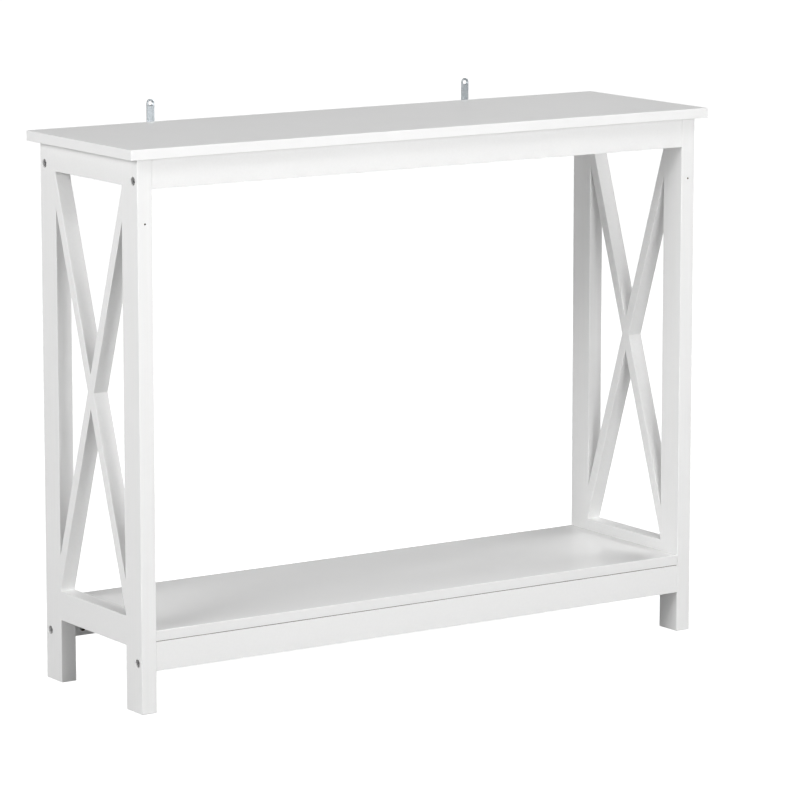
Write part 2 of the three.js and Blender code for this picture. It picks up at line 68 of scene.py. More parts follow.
BRACE_WIDTH = 16 * MM
BRACE_CORNER_GAP = 3 * MM  # from the corner of an end frame's opening to the nearest brace
JOINT_OVERLAP = 0.02 * MM  # how far a strip reaches past its joint line, towards the next strip
JOINT_GAP = 0.05 * MM  # slit between two strips of an end frame
TOP_GAP = 0.5 * MM  # slit under the tabletop
SHELF_GAP = 0.8 * MM  # slit between the shelf and the lower aprons

# Holes
HOLE_SLACK = 0.3 * MM  # how far a blind hole runs on past what is in it
COUNTERBORE_RADIUS = 6 * MM
COUNTERBORE_DEPTH = 6 * MM
COUNTERBORE_EASE = 0.35 * MM  # chamfer round the mouth
BOLT_HOLE_RADIUS = 3.3 * MM
BOLT_HOLE_RUN = 3 * MM  # how far the hole runs on past the bolt's tip
NUT_HOLE_RADIUS = 5.3 * MM
NUT_HOLE_DEPTH = 19.3 * MM
DOWEL_HOLE_RADIUS = 4.3 * MM
DOWEL_HOLE_DEPTH = 12.3 * MM
CAM_HOLE_RADIUS = 7.6 * MM
CAM_HOLE_DEPTH = 12.3 * MM
CAM_BOLT_HOLE_RADIUS = 3.8 * MM
CAM_BOLT_HOLE_RUN = 1.5 * MM  # how far the hole runs on past the stud's head
CAM_BOLT_PILOT_RADIUS = 3 * MM
SCREW_HOLE_RADIUS = 2.3 * MM
SHELF_SCREW_BORE_RADIUS = 4.1 * MM
SHELF_SCREW_SEAT = 18 * MM  # top of the lower apron to the seat of a shelf screw
PIN_HOLE_RADIUS = 1.4 * MM
PIN_HOLE_DEPTH = 14 * MM
PIN_HOLE_HEIGHT = 697 * MM
ROUND_STEPS = 48  # sides of a round shape that can be seen
INNER_STEPS = 24  # sides of a round hole inside the wood
PIN_HOLE_STEPS = 16

# Fasteners
BOLT_HEAD_HEIGHT = 4.5 * MM
BOLT_HEAD_RADIUS = 5.4 * MM
BOLT_HEAD_EASE = 0.6 * MM
BOLT_SEAT_EASE = 0.2 * MM  # under the head
BOLT_RADIUS = 3 * MM
BOLT_TIP_RADIUS = 2.2 * MM
BOLT_TIP = 0.8 * MM  # length of the chamfer at the tip
BOLT_THREAD_START = 1 * MM  # places along the bolt, from its tip
BOLT_THREAD_END = 26 * MM
BOLT_SHANK_START = 27 * MM
BOLT_PITCH = 1 * MM
BOLT_THREAD_DEPTH = 0.45 * MM
SOCKET_RADIUS = 2.3 * MM  # to a corner of the hexagon
SOCKET_DEPTH = 2.8 * MM
SOCKET_EASE = 0.3 * MM

NUT_EASE = 0.5 * MM
NUT_BORE_RADIUS = 3.3 * MM
NUT_SLOT_DEPTH = 1.5 * MM
NUT_SLOT_WIDTH = 1.2 * MM

DOWEL_EASE = 0.9 * MM
DOWEL_FLUTES = 0.06  # share of the radius

STUD_HEAD_RADIUS = 3.3 * MM  # the stud is the cam's bolt, measured up from its head
STUD_HEAD_EASE = 0.4 * MM
STUD_HEAD_HEIGHT = 3 * MM
STUD_NECK_RADIUS = 2.2 * MM
STUD_NECK_END = 8 * MM
STUD_RADIUS = 3.5 * MM
STUD_CONE = 1 * MM  # length of each slope between two radii
STUD_THREAD_RADIUS = 2.7 * MM
STUD_THREAD_DEPTH = 0.5 * MM
STUD_PITCH = 1.5 * MM
STUD_POINT = 2 * MM

CAM_EASE = 0.5 * MM
CAM_EASE_MIDDLE = 0.15 * MM  # the cam's edge is rounded in two flats, which meet this far in from the face
CAM_RIM = 1.2 * MM
CAM_DISH = 0.3 * MM  # depth of the face inside the rim
CAM_CROSS = (1.8 * MM, 3.6 * MM, 1.3 * MM)  # depth, reach and slot width of the driver recess
CAM_SLOT_HALF = 3.9 * MM  # half the width of the slot for the stud's head
CAM_SLOT_FRONT = 4 * MM  # how far the slot reaches from the stud towards the cam's face
CAM_SLOT_FOOT = 3.5 * MM  # how far it reaches below the cam's middle

SCREW_RADIUS = 2 * MM
SCREW_PITCH = 1.4 * MM
SCREW_THREAD_DEPTH = 0.5 * MM
SCREW_POINT = 4 * MM
SHELF_SCREW_CROSS = (1.4 * MM, 2 * MM, 0.9 * MM)
STRAP_SCREW_CROSS = (1.2 * MM, 2 * MM, 0.9 * MM)
CROSS_TAPER = 0.45  # how far the arms of a driver recess shrink towards its floor
# Radius and distance from the outer face, for the two kinds of screw head
PAN_HEAD = [(0, 0), (3 * MM, 0), (3.6 * MM, 0.4 * MM), (3.8 * MM, 1.2 * MM), (3.8 * MM, 2.5 * MM)]
COUNTERSUNK_HEAD = [(2 * MM, -1.8 * MM), (3.7 * MM, -0.1 * MM), (3.5 * MM, 0), (0, 0)]
COUNTERSUNK_THREAD_END = 2.2 * MM

# Wall straps
STRAP_CORNER = 2 * MM
STRAP_STEPS = 20
STRAP_ROUND = 0.9999  # share of half the width, so that the two arcs of the round top don't share a point
STRAP_ARRIS = 0.35 * MM
WALL_HOLE_RADIUS = 3.2 * MM
WALL_HOLE_FLARE = 1.3 * MM  # how much wider the mouth of a countersink is
SCREW_HOLE_FLARE = 1.8 * MM
COUNTERSINK_SHARE = 0.9  # of the strap's thickness

# Limits of the mesh tools
WELD = 0.001 * MM  # points closer than this are merged
PARALLEL = 1e-6  # sine below which two edges count as one line
UPWARD = 0.99  # cosine above which a face looks up
FLAT_ANGLE = math.radians(0.05)
SHARP_ANGLE = math.radians(35)

SIDES = {"left": -1, "right": 1}
EDGES = {"front": -1, "rear": 1}
LEVELS = ("upper", "lower")

X, Y, Z = 0, 1, 2


def middle(node):
    """Middle of a CAD node's box."""
    low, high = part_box(node)
    return (low + high) / 2


# ---- Camera, floor and light ---------------------------------------------------------------------

# The camera was worked out from the table's edges in the photo.
CAMERA_PLACE = (-3.40698, -5.18953, 1.47716)
CAMERA_TURN = (math.radians(90 - 9.34), 0, math.radians(-33.62))
SENSOR_WIDTH = 36
LENS = 191.23
LENS_SHIFT = -0.06

FLOOR_REACH = 30
FLOOR_GREY = 0.4
GLOW_NEAR = 0.97  # glow of the floor round the table, as the camera sees it
GLOW_FROM, GLOW_TO = 0.7, 2.2  # distances from the table's middle over which the glow rises to 1
SKY = 0.12  # level of the sky above the white band
HORIZON_TOP, SKY_FOOT = 0.06, 0.075  # sines of the angles above the level, between which white turns to sky
AIM_LOW, AIM_MIDDLE = (0, 0, 0.4), (0, 0, 0.5)  # where the lights point
FAR_BOX, NEAR_BOX = (2, 1.4), (0.9, 0.4)


def make_camera():
    data = bpy.data.cameras.new("camera")
    data.sensor_width = SENSOR_WIDTH
    data.lens = LENS
    data.shift_y = LENS_SHIFT
    data.clip_end = 100
    camera = bpy.data.objects.new("camera", data)
    camera.location = CAMERA_PLACE
    camera.rotation_euler = CAMERA_TURN
    bpy.context.scene.collection.objects.link(camera)
    bpy.context.scene.camera = camera


def make_softbox(name, place, aim, size, power):
    """A soft rectangular light, turned towards a point."""
    data = bpy.data.lights.new(name, "AREA")
    data.shape = "RECTANGLE"
    data.size, data.size_y = size
    data.energy = power
    light = bpy.data.objects.new(name, data)
    light.location = place
    light.rotation_mode = "QUATERNION"
    light.rotation_quaternion = (Vector(place) - Vector(aim)).to_track_quat("Z", "Y")
    bpy.context.scene.collection.objects.link(light)


def make_lights():
    """Large far boxes carry the level, and two small near ones throw the aprons' shadows on the legs."""
    make_softbox("left", (-4.4, -1.2, 2.5), AIM_LOW, FAR_BOX, 90)
    make_softbox("left_low", (-4.8, 0, 1.7), AIM_LOW, FAR_BOX, 55)
    make_softbox("front_high", (0, -2.4, 4.8), AIM_LOW, FAR_BOX, 48)
    make_softbox("right_high", (3.9, 0, 3.5), AIM_LOW, FAR_BOX, 86)
    make_softbox("rear_right_low", (2.4, 4.2, 1.7), AIM_LOW, FAR_BOX, 4)
    make_softbox("near_front_low", (-0.3, -2.6, 0.9), AIM_MIDDLE, NEAR_BOX, 24)
    make_softbox("near_front_right", (0.9, -2.6, 1.5), AIM_MIDDLE, NEAR_BOX, 15)


def make_floor():
    """A plain grey floor, which a glow that only the camera sees turns white."""
    shape = bmesh.new()
    bmesh.ops.create_grid(shape, x_segments=1, y_segments=1, size=FLOOR_REACH)
    floor = to_object("floor", shape)
    white = Finish("floor_white", 0.9)
    white.shader.inputs["Base Color"].default_value = (FLOOR_GREY, FLOOR_GREY, FLOOR_GREY, 1)
    white.shader.inputs["Emission Color"].default_value = (1, 1, 1, 1)
    distance = white.nodes.new("ShaderNodeVectorMath")
    distance.operation = "LENGTH"
    rise = white.nodes.new("ShaderNodeMapRange")
    rise.inputs["From Min"].default_value, rise.inputs["From Max"].default_value = GLOW_FROM, GLOW_TO
    rise.inputs["To Min"].default_value, rise.inputs["To Max"].default_value = GLOW_NEAR, 1
    camera_only = white.nodes.new("ShaderNodeMath")
    camera_only.operation = "MULTIPLY"
    white.links.new(white.place, distance.inputs[0])
    white.links.new(distance.outputs["Value"], rise.inputs["Value"])
    white.links.new(rise.outputs["Result"], camera_only.inputs[0])
    white.links.new(white.nodes.new("ShaderNodeLightPath").outputs["Is Camera Ray"], camera_only.inputs[1])
    white.links.new(camera_only.outputs["Value"], white.shader.inputs["Emission Strength"])
    paint(floor, white.material)


def make_world():
    """A white band round the horizon, and above it a dim sky for the metal to reflect."""
    world = bpy.data.worlds.new("studio")
    bpy.context.scene.world = world
    world.use_nodes = True
    nodes, links = world.node_tree.nodes, world.node_tree.links
    split = nodes.new("ShaderNodeSeparateXYZ")
    ramp = nodes.new("ShaderNodeValToRGB")
    links.new(nodes.new("ShaderNodeTexCoord").outputs["Generated"], split.inputs[0])
    links.new(split.outputs["Z"], ramp.inputs["Fac"])
    links.new(ramp.outputs["Color"], nodes["Background"].inputs["Color"])
    horizon, sky = ramp.color_ramp.elements
    horizon.position, horizon.color = HORIZON_TOP, (1, 1, 1, 1)
    sky.position, sky.color = SKY_FOOT, (SKY, SKY, SKY, 1)


# ---- Materials -----------------------------------------------------------------------------------

PAINT_SPREAD = 0.012  # how much the board's white varies
NOISE_LOW, NOISE_HIGH = 0.3, 0.7  # the range that most of a noise lies in


class Finish:
    """A Principled material under construction, with textures laid out in the frame's own metres."""

    def __init__(self, name, roughness, metallic=0.0):
        self.material = bpy.data.materials.new(name)
        self.material.use_nodes = True
        self.nodes = self.material.node_tree.nodes
        self.links = self.material.node_tree.links
        self.shader = self.nodes["Principled BSDF"]
        self.shader.inputs["Roughness"].default_value = roughness
        self.shader.inputs["Metallic"].default_value = metallic
        self.place = self.nodes.new("ShaderNodeTexCoord").outputs["Object"]

    def noise(self, per_metre, detail, stretch=(1, 1, 1)):
        """Noise with so many features to the metre, drawn out by stretch along each axis."""
        mapping = self.nodes.new("ShaderNodeMapping")
        mapping.inputs["Scale"].default_value = [per_metre / s for s in stretch]
        texture = self.nodes.new("ShaderNodeTexNoise")
        texture.inputs["Scale"].default_value = 1
        texture.inputs["Detail"].default_value = detail
        self.links.new(self.place, mapping.inputs["Vector"])
        self.links.new(mapping.outputs["Vector"], texture.inputs["Vector"])
        return texture.outputs["Fac"]

    def spangle(self, per_metre):
        """Flat crystal-like cells, each with its own level from 0 to 1."""
        texture = self.nodes.new("ShaderNodeTexVoronoi")
        texture.inputs["Scale"].default_value = per_metre
        self.links.new(self.place, texture.inputs["Vector"])
        split = self.nodes.new("ShaderNodeSeparateColor")
        self.links.new(texture.outputs["Color"], split.inputs["Color"])
        return split.outputs["Red"]

    def spread(self, source, low, high):
        """The middle part of a noise, stretched to run from low to high."""
        span = self.nodes.new("ShaderNodeMapRange")
        span.inputs["From Min"].default_value = NOISE_LOW
        span.inputs["From Max"].default_value = NOISE_HIGH
        span.inputs["To Min"].default_value = low
        span.inputs["To Max"].default_value = high
        self.links.new(source, span.inputs["Value"])
        return span.outputs["Result"]

    def colour(self, source, dark, light):
        mix = self.nodes.new("ShaderNodeMix")
        mix.data_type = "RGBA"
        mix.inputs["A"].default_value = (*dark, 1)
        mix.inputs["B"].default_value = (*light, 1)
        self.links.new(self.spread(source, 0, 1), mix.inputs["Factor"])
        self.links.new(mix.outputs["Result"], self.shader.inputs["Base Color"])

    def roughness(self, source, low, high):
        self.links.new(self.spread(source, low, high), self.shader.inputs["Roughness"])

    def relief(self, source, height):
        """Bumps of this height, in metres."""
        bump = self.nodes.new("ShaderNodeBump")
        bump.inputs["Distance"].default_value = height
        self.links.new(source, bump.inputs["Height"])
        self.links.new(bump.outputs["Normal"], self.shader.inputs["Normal"])


def painted_board(name, level, dull, shiny):
    """Satin white on flat board: smooth, with a sheen that hardly varies."""
    coat = Finish(name, dull)
    lighter = level + PAINT_SPREAD
    coat.colour(coat.noise(9, 2), (level, level, level - 0.004), (lighter, lighter, lighter - 0.003))
    coat.roughness(coat.noise(30, 2), shiny, dull)
    return coat.material


def painted_strip(name, grain=(1, 1, 1)):
    """Satin white on the frame and the aprons. Grain draws the faint marks in the paint out along a strip."""
    coat = Finish(name, 0.4)
    coat.colour(coat.noise(260, 2, grain), (0.872, 0.872, 0.867), (0.888, 0.888, 0.884))
    coat.roughness(coat.noise(80, 3, grain), 0.35, 0.45)
    return coat.material


def bare_board_with_painted_shade():
    """Bare fibreboard, in the drilled holes and on the tops of the aprons. Its brown is far darker than bare
    board, as painted shade in the holes and in the slits under the boards.
    """
    board = Finish("bare_fibreboard_painted_shade", 0.9)
    # Painted shade: a much darker brown than bare fibreboard, so that holes and slits look shaded
    board.colour(board.noise(900, 6), (0.1, 0.07, 0.045), (0.2, 0.14, 0.09))
    board.relief(board.noise(1800, 6), 0.12 * MM)
    return board.material


def bright_plating():
    """Bright zinc plate: bluish, faintly crystalline, brushed along its length."""
    zinc = Finish("bright_zinc_plate", 0.3, metallic=1)
    zinc.colour(zinc.spangle(420), (0.43, 0.465, 0.49), (0.49, 0.525, 0.55))
    zinc.roughness(zinc.noise(700, 4, (1, 1, 12)), 0.34, 0.48)
    zinc.relief(zinc.noise(1500, 3, (1, 1, 20)), 0.01 * MM)
    return zinc.material


def dark_plating():
    """Grey zinc plate on turned steel: duller, with fine tool marks."""
    zinc = Finish("grey_zinc_plate", 0.38, metallic=1)
    zinc.colour(zinc.noise(500, 4), (0.48, 0.48, 0.48), (0.6, 0.6, 0.595))
    zinc.roughness(zinc.noise(1500, 4), 0.36, 0.5)
    zinc.relief(zinc.noise(3000, 3), 0.015 * MM)
    return zinc.material


def beech_wood():
    """Bare beech: warm, with short dark flecks along the dowel, which lies along X."""
    beech = Finish("bare_beech", 0.7)
    beech.colour(beech.noise(900, 5, (14, 1, 1)), (0.46, 0.28, 0.14), (0.68, 0.47, 0.27))
    beech.relief(beech.noise(2200, 4, (10, 1, 1)), 0.05 * MM)
    return beech.material


TOP_PAINT = painted_board("satin_white_tabletop", 0.882, 0.46, 0.4)
# Painted shade: the shelf's white is set darker than the tabletop's, for the shade under the tabletop
SHADED_SHELF_PAINT = painted_board("satin_white_shelf_painted_shade", 0.85, 0.15, 0.12)
FRAME_PAINT = painted_strip("satin_white_frame")
LEG_PAINT = painted_strip("satin_white_legs", (1, 1, 40))
# Bare board, darkened as painted shade for the holes and the slits under the boards
BARE_AND_SHADE = bare_board_with_painted_shade()
BRIGHT_ZINC = bright_plating()
DARK_ZINC = dark_plating()
BEECH = beech_wood()


# ---- Mesh tools ----------------------------------------------------------------------------------


def moved_in(outline, insets):
    """A closed outline with each edge moved to its left. Edge i runs from point i to the next one."""
    moved = []
    for i, point in enumerate(outline):
        before = (point - outline[i - 1]).normalized()
        after = (outline[(i + 1) % len(outline)] - point).normalized()
        normal_before = Vector((-before.y, before.x))
        normal_after = Vector((-after.y, after.x))
        sine = before.x * after.y - before.y * after.x
        if abs(sine) < PARALLEL:
            moved.append(point + normal_after * insets[i])
        else:
            along = (insets[i] - insets[i - 1] * normal_before.dot(normal_after)) / sine
            moved.append(point + normal_before * insets[i - 1] - before * along)
    return moved


def rounded(outline, radii, steps=CORNER_STEPS):
    """An outline whose corners are replaced by arcs. A radius of 0 leaves a corner sharp."""
    points = []
    for i, corner in enumerate(outline):
        if radii[i] == 0:
            points.append(corner)
            continue
        back = (outline[i - 1] - corner).normalized()
        ahead = (outline[(i + 1) % len(outline)] - corner).normalized()
        half = math.acos(back.dot(ahead)) / 2
        start = corner + back * radii[i] / math.tan(half)
        centre = corner + (back + ahead).normalized() * radii[i] / math.sin(half)
        sweep = math.pi - 2 * half
        turn = sweep if back.cross(ahead) < 0 else -sweep
        for step in range(steps + 1):
            spin = Matrix.Rotation(turn * step / steps, 2)
            points.append(centre + spin @ (start - centre))
    return points


def rectangle(low, high):
    """The four corners of a rectangle, anticlockwise from the lowest."""
    corners = [(low[0], low[1]), (high[0], low[1]), (high[0], high[1]), (low[0], high[1])]
    return [Vector(corner) for corner in corners]


def slab(name, outlines, axis, low, high, arris, insets=None, low_arris=None):
    """A plate whose outlines lie across an axis, from low to high along it, with rounded arrises.

    The first outline is the plate's edge, anticlockwise, and the others are its openings, clockwise.
    Insets say how far each edge of each outline is rounded back on the faces, if not by the arris.
    The first layers may be rounded less than the last, by a low_arris of their own.
    """
    low_arris = arris if low_arris is None else low_arris
    if insets is None:
        insets = [[arris] * len(outline) for outline in outlines]
    quarter = [math.pi / 2 * i / ARRIS_STEPS for i in range(ARRIS_STEPS + 1)]
    if arris == 0:
        layers = [(0, low), (0, high)]
    else:
        share = low_arris / arris
        layers = [(share * (1 - math.cos(a)), low + low_arris * (1 - math.sin(a))) for a in reversed(quarter)]
        layers += [(1 - math.cos(a), high - arris * (1 - math.sin(a))) for a in quarter]
    shape = bmesh.new()
    first, last = [], []
    for outline, reach in zip(outlines, insets):
        rings = []
        for share, height in layers:
            flat = moved_in(outline, [share * r for r in reach])
            rings.append([shape.verts.new(lifted(point, axis, height)) for point in flat])
        for near, far in zip(rings, rings[1:]):
            for i in range(len(near)):
                j = (i + 1) % len(near)
                shape.faces.new((near[i], near[j], far[j], far[i]))
        first.append(rings[0])
        last.append(rings[-1])
    for rings in (first, last):
        corners = [vert for ring in rings for vert in ring]
        loops = [[Vector(vert.co) for vert in ring] for ring in rings]
        for triangle in tessellate_polygon(loops):
            shape.faces.new([corners[i] for i in triangle])
    return to_object(name, shape)


def lifted(point, axis, height):
    """A point of an outline across an axis, at a height along it. Its other axes keep their X, Y, Z order."""
    flat = [point.x, point.y]
    flat.insert(axis, height)
    return Vector(flat)


def lathe(name, profile, axis, place, steps=ROUND_STEPS, flutes=0.0):
    """A turned shape. The profile holds (radius, distance along the axis) from one end to the other.

    Its ends lie on the axis. Flutes narrow every second step of the round by that share.
    """
    shape = bmesh.new()
    rings = []
    for radius, along in profile:
        if radius == 0:
            rings.append([shape.verts.new((0, 0, along))])
            continue
        ring = []
        for step in range(steps):
            angle = math.tau * step / steps
            reach = radius * (1 - flutes * (step % 2))
            ring.append(shape.verts.new((reach * math.cos(angle), reach * math.sin(angle), along)))
        rings.append(ring)
    for near, far in zip(rings, rings[1:]):
        for i in range(steps):
            j = (i + 1) % steps
            corners = [near[i % len(near)], near[j % len(near)], far[j % len(far)], far[i % len(far)]]
            shape.faces.new(list(dict.fromkeys(corners)))
    turn = Vector((0, 0, 1)).rotation_difference(Vector(axis)).to_matrix().to_4x4()
    bmesh.ops.transform(shape, matrix=Matrix.Translation(place) @ turn, verts=shape.verts)
    return to_object(name, shape)


def to_object(name, shape):
    bmesh.ops.recalc_face_normals(shape, faces=shape.faces)
    mesh = bpy.data.meshes.new(name)
    shape.to_mesh(mesh)
    shape.free()
    piece = bpy.data.objects.new(name, mesh)
    bpy.context.scene.collection.objects.link(piece)
    return piece


def paint(piece, material):
    """Gives a piece this material alone."""
    piece.data.materials.clear()
    piece.data.materials.append(material)
    return piece


def shaded_bare_top(piece):
    """Leaves the flat top of a drilled piece bare where it meets the board above, and its dark brown paints
    shade into the slit under that board.
    """
    bare = piece.data.materials.find(BARE_AND_SHADE.name)
    top = max(vert.co.z for vert in piece.data.vertices)
    for face in piece.data.polygons:
        if face.normal.z > UPWARD and face.center.z > top - JOINT_ARRIS / 2:
            face.material_index = bare
    return piece


def carve(body, tools, operation="DIFFERENCE"):
    """Cuts the tools out of a body, or keeps only what lies in them. The tools are used up."""
    for tool in tools:
        modifier = body.modifiers.new("carve", "BOOLEAN")
        modifier.operation = operation
        modifier.solver = "MANIFOLD"
        modifier.material_mode = "TRANSFER"
        modifier.object = tool
    carved = bpy.data.meshes.new_from_object(body.evaluated_get(bpy.context.evaluated_depsgraph_get()))
    body.modifiers.clear()
    body.data = carved
    for tool in tools:
        bpy.data.objects.remove(tool)
    return body


def copied(body, name):
    copy = bpy.data.objects.new(name, body.data.copy())
    bpy.context.scene.collection.objects.link(copy)
    return copy


def drill(axis, start, end, place, radius, material, steps=INNER_STEPS):
    """A round cutter through a place, between two coordinates along an axis."""
    low, high = min(start, end), max(start, end)
    profile = [(0, 0), (radius, 0), (radius, high - low), (0, high - low)]
    foot = Vector(place)
    foot[axis] = low
    direction = [1 if i == axis else 0 for i in range(3)]
    return paint(lathe("cutter", profile, direction, foot, steps), material)


def finish(piece, node):
    """Shades a finished piece and puts it in the place of its CAD node."""
    shape = bmesh.new()
    shape.from_mesh(piece.data)
    bmesh.ops.remove_doubles(shape, verts=shape.verts, dist=WELD)
    bmesh.ops.dissolve_limit(
        shape, angle_limit=FLAT_ANGLE, verts=shape.verts, edges=shape.edges, delimit={"MATERIAL"}
    )
    shape.to_mesh(piece.data)
    shape.free()
    piece.name = f"{node}_finished"
    piece.data.name = piece.name
    piece.data.shade_smooth()
    piece.data.set_sharp_from_angle(angle=SHARP_ANGLE)
    shading = piece.modifiers.new("even_shading", "WEIGHTED_NORMAL")
    shading.keep_sharp = True
    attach(piece, "root")
    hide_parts(node)


# ---- Boards --------------------------------------------------------------------------------------


def tabletop():
    low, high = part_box("tabletop")
    outline = rounded(rectangle(low, high), [BOARD_CORNER] * 4)
    board = slab("tabletop", [outline], Z, low.z, high.z, BOARD_ARRIS, low_arris=BOARD_UNDER_ARRIS)
    paint(board, TOP_PAINT)
    cutters = []
    for side in SIDES:
        for edge in EDGES:
            stud = f"cam_bolt_{edge}_{side}"
            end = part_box(stud)[1].z + HOLE_SLACK
            cutters.append(drill(Z, low.z - MM, end, middle(stud), CAM_BOLT_PILOT_RADIUS, BARE_AND_SHADE))
        screw = f"bracket_screw_{side}"
        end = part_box(screw)[0].y - HOLE_SLACK
        cutters.append(drill(Y, end, high.y + MM, middle(screw), SCREW_HOLE_RADIUS, BARE_AND_SHADE))
    finish(carve(board, cutters), "tabletop")


def lower_shelf():
    low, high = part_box("lower_shelf")
    insets = [[BOARD_ARRIS, JOINT_ARRIS, BOARD_ARRIS, JOINT_ARRIS]]
    outlines = [rectangle(low, high)]
    board = slab("shelf", outlines, Z, low.z, high.z, BOARD_ARRIS, insets, low_arris=JOINT_ARRIS)
    paint(board, SHADED_SHELF_PAINT)
    cutters = []
    for side in SIDES:
        for edge in EDGES:
            screw = f"shelf_screw_{edge}_{side}"
            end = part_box(screw)[1].z + HOLE_SLACK
            cutters.append(drill(Z, low.z - MM, end, middle(screw), SCREW_HOLE_RADIUS, BARE_AND_SHADE))
    finish(carve(board, cutters), "lower_shelf")


# ---- End frames ----------------------------------------------------------------------------------
# An end frame is rounded off as one painted body, and then parted into its strips along their joints, so that
# the rounding runs round each opening as it does on the table. Outlines here are in Y and Z.


def brace_cut_height(run, clear_height):
    """Height of a brace's upright end, for a strip of BRACE_WIDTH between legs this far apart."""
    a = run**2 - BRACE_WIDTH**2
    b = 2 * BRACE_WIDTH**2 * clear_height
    c = -(BRACE_WIDTH**2) * (run**2 + clear_height**2)
    return (math.sqrt(b**2 - 4 * a * c) - b) / (2 * a)


class EndFrame:
    def __init__(self, side):
        self.side = side
        leg_low, leg_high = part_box(f"{side}_front_leg")
        self.x_low, self.x_high = leg_low.x, leg_high.x
        self.inner, self.outer = -leg_high.y, -leg_low.y
        self.top = leg_high.z - TOP_GAP
        self.rail_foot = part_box(f"{side}_bottom_rail")[0].z
        self.opening_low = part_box(f"{side}_bottom_rail")[1].z
        self.opening_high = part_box(f"{side}_top_rail")[0].z
        self.brace_low = self.opening_low + BRACE_CORNER_GAP
        self.brace_high = self.opening_high - BRACE_CORNER_GAP
        self.cut = brace_cut_height(2 * self.inner, self.brace_high - self.brace_low)
        self.slope = (self.brace_high - self.brace_low - self.cut) / (2 * self.inner)
        self.centre = (self.brace_high + self.brace_low) / 2
        self.body = self.make_body()

    def strip(self, rise, grow):
        """Outline of a brace, grown by a margin across its width. Rise is +1 if it rises rearward."""
        run = self.inner + MM
        climb = self.slope * run
        half = self.cut / 2 + grow * math.hypot(1, self.slope)
        ends = [(-run, -climb - half), (run, climb - half), (run, climb + half), (-run, -climb + half)]
        return [Vector((rise * y, self.centre + z)) for y, z in ends]

    def openings(self):
        """The four openings between the rails, the legs and the crossed braces."""
        inner, centre = self.inner, self.centre
        tall = self.cut / 2
        wide = tall / self.slope
        above = [
            (0, centre + tall),
            (-inner, self.brace_high),
            (-inner, self.opening_high),
            (inner, self.opening_high),
            (inner, self.brace_high),
        ]
        rear = [(wide, centre), (inner, self.brace_high - self.cut), (inner, self.brace_low + self.cut)]
        below = [(-y, 2 * centre - z) for y, z in above]
        front = [(-y, 2 * centre - z) for y, z in rear]
        return [[Vector(point) for point in opening] for opening in (above, rear, below, front)]

    def make_body(self):
        inner, outer = self.inner, self.outer
        edge = [
            (-outer, 0),
            (-inner, 0),
            (-inner, self.rail_foot),
            (inner, self.rail_foot),
            (inner, 0),
            (outer, 0),
            (outer, self.top),
            (-outer, self.top),
        ]
        radii = [FOOT_CORNER, FOOT_CORNER, 0, 0, FOOT_CORNER, FOOT_CORNER, 0, 0]
        outline = rounded([Vector(point) for point in edge], radii, FOOT_STEPS)
        outlines = [outline, *self.openings()]
        return slab("end_frame", outlines, X, self.x_low, self.x_high, FRAME_ARRIS)

    def region(self, outline, low=None, high=None, material=FRAME_PAINT):
        """A cutter with this outline, through the whole frame or between two places in its thickness."""
        low = self.x_low - MM if low is None else low
        high = self.x_high + MM if high is None else high
        return paint(slab("region", [outline], X, low, high, 0), material)

    def part(self, name, outline, material=FRAME_PAINT):
        """The part of the whole frame that lies inside an outline."""
        body = paint(copied(self.body, name), material)
        return carve(body, [self.region(outline, material=material)], "INTERSECT")

    def make_strips(self):
        self.make_legs()
        self.make_rails()
        self.make_braces()
        bpy.data.objects.remove(self.body)

    def make_legs(self):
        for edge, way in EDGES.items():
            joint = self.inner - JOINT_OVERLAP
            ends = sorted((way * joint, way * (self.outer + MM)))
            outline = rectangle((ends[0], -MM), (ends[1], self.top + MM))
            leg = self.part("leg", outline, LEG_PAINT)
            finish(carve(leg, self.leg_cutters(edge)), f"{self.side}_{edge}_leg")

    def leg_cutters(self, edge):
        sign = SIDES[self.side]
        outer_face = sign * max(abs(self.x_low), abs(self.x_high))
        inner_face = sign * min(abs(self.x_low), abs(self.x_high))
        seat = outer_face - sign * COUNTERBORE_DEPTH
        cutters = []
        for level in LEVELS:
            corner = f"{self.side}_{edge}_{level}"
            bolt = middle(f"frame_bolt_{corner}")
            dowel = middle(f"apron_dowel_{corner}")
            dowel_end = inner_face + sign * DOWEL_HOLE_DEPTH
            cutters.append(drill(X, inner_face - sign * MM, seat + sign * MM, bolt, BOLT_HOLE_RADIUS, BARE_AND_SHADE))
            cutters.append(counterbore(sign, outer_face, seat, bolt))
            cutters.append(drill(X, inner_face - sign * MM, dowel_end, dowel, DOWEL_HOLE_RADIUS, BARE_AND_SHADE))
        if edge == "front":
            face = -self.outer
            place = Vector(((self.x_low + self.x_high) / 2, 0, PIN_HOLE_HEIGHT))
            end = face + PIN_HOLE_DEPTH
            cutters.append(drill(Y, face - MM, end, place, PIN_HOLE_RADIUS, BARE_AND_SHADE, PIN_HOLE_STEPS))
        return cutters

    def make_rails(self):
        joint = self.inner - JOINT_OVERLAP - JOINT_GAP
        rails = {
            "top_rail": (self.opening_high - MM, self.top + MM),
            "bottom_rail": (self.rail_foot - MM, self.opening_low + MM),
        }
        for rail, (low, high) in rails.items():
            outline = rectangle((-joint, low), (joint, high))
            finish(self.part(rail, outline), f"{self.side}_{rail}")

